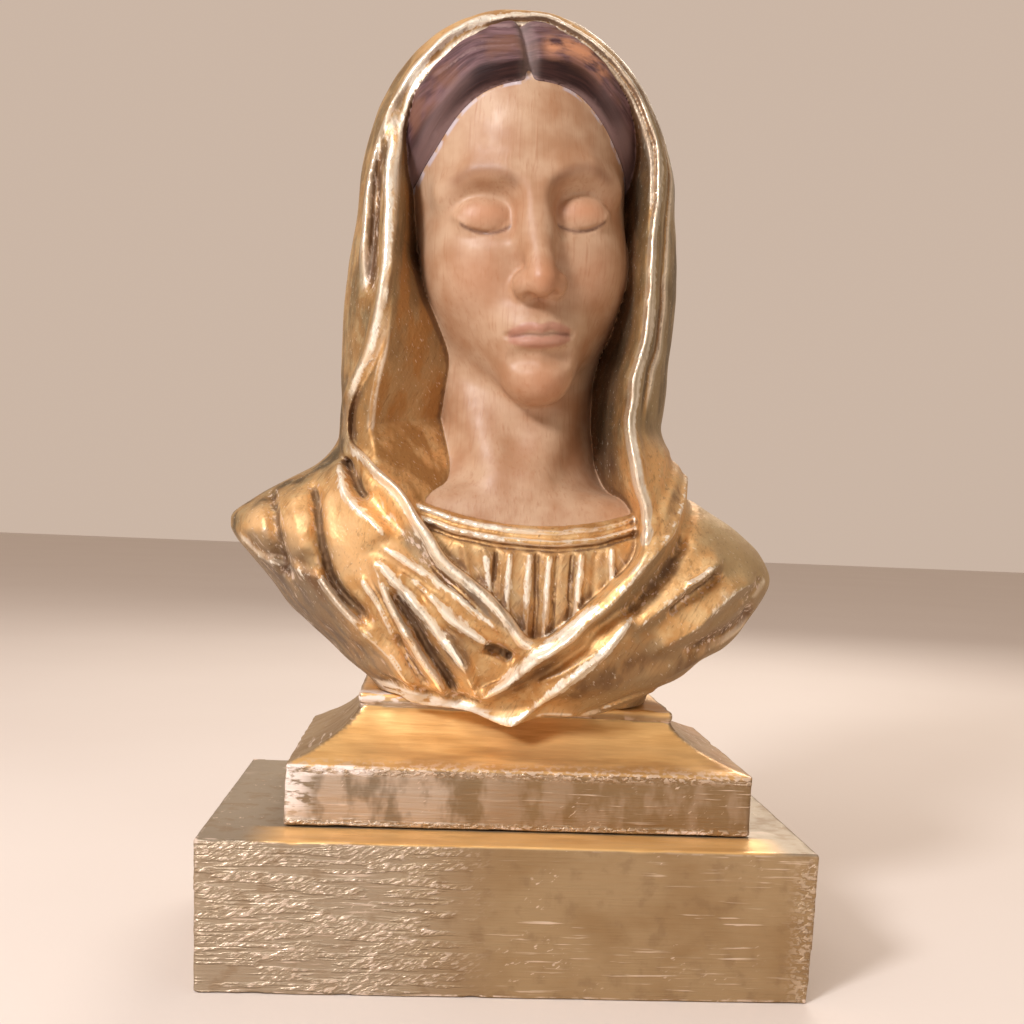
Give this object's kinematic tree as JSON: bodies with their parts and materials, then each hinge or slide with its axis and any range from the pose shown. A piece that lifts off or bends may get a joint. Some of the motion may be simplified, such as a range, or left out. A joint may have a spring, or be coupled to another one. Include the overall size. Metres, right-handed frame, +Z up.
{
  "type": "religious bust",
  "caption": "Gilded wooden bust of a veiled woman with painted face and parted hair, crossed mantle over a pleated dress, on a stepped plinth with a cove.",
  "frame": {"origin": "centre of the plinth's underside", "axes": "+Z up, -Y towards the front of the figure, +X to the viewer's right"},
  "size_m": [0.175, 0.11, 0.2906],
  "materials": {
    "bust_finish": "carved wood with worn gold leaf on the cloth and matt flesh and hair colours",
    "plinth_finish": "grained wood with dull brushed gilding, worn pale at the edges"
  },
  "bodies": {
    "root": {"bust": "bust_finish", "plinth_cap": "plinth_finish", "plinth_base": "plinth_finish"}
  },
  "joints": []
}
